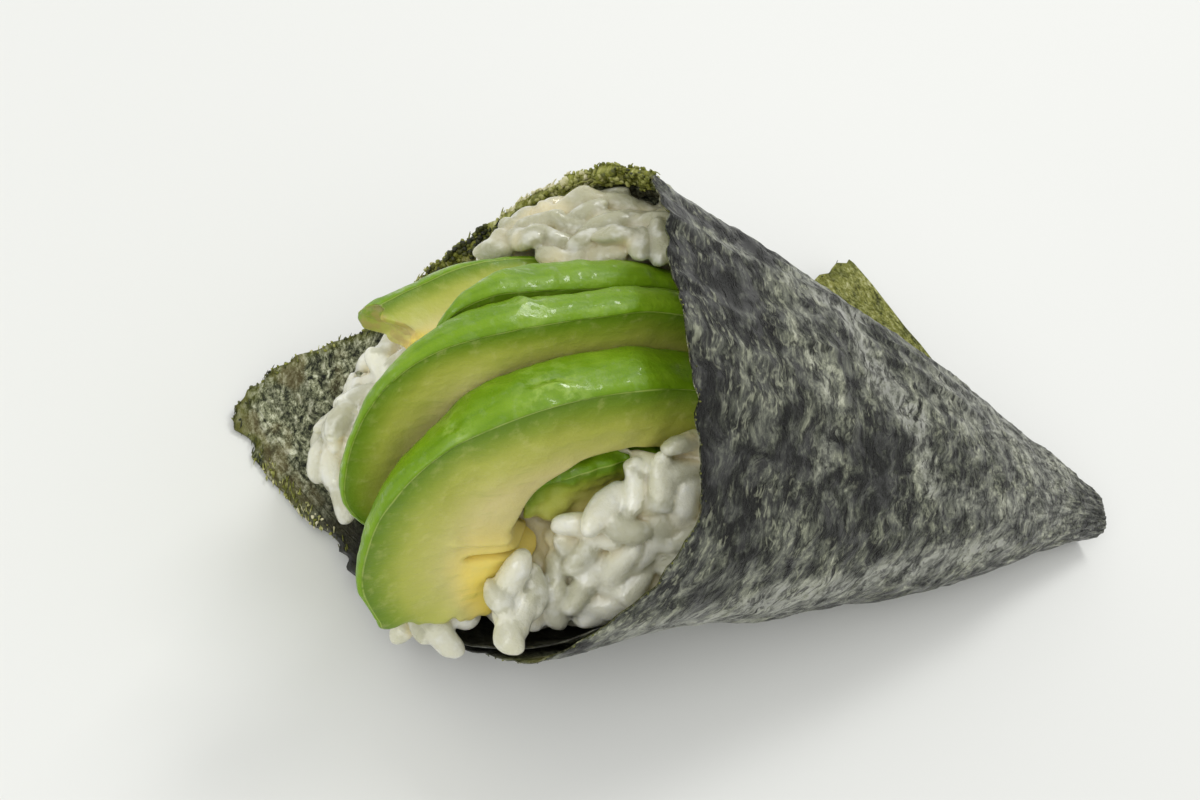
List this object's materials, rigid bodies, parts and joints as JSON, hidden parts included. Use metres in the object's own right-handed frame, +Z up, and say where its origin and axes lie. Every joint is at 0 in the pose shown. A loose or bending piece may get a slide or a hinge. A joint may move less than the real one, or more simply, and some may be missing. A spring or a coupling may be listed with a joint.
{
  "type": "temaki hand roll",
  "caption": "Hand roll lying on its side: a seaweed sheet wound into a cone, packed with rice, with a fan of avocado slices hanging out of the open end.",
  "frame": {"origin": "under the middle of the roll's bounding box, on the surface that it lies on", "axes": "+X from the open mouth towards the closed tip, +Y towards the free corner of the sheet behind the roll, +Z up"},
  "size_m": [0.1254, 0.0796, 0.046],
  "materials": {
    "nori": "dry toasted seaweed, dark green-black with pale fibrous flecks and a greyish sheen",
    "rice": "moist cooked short-grain rice, translucent white",
    "avocado": "ripe avocado flesh, green at the skin side to pale yellow at the stone side, moist"
  },
  "bodies": {
    "root": {"nori": "nori", "rice": "rice", "avocado_slice_1": "avocado", "avocado_slice_2": "avocado", "avocado_slice_3": "avocado", "avocado_slice_4": "avocado", "avocado_slice_5": "avocado"}
  },
  "joints": []
}
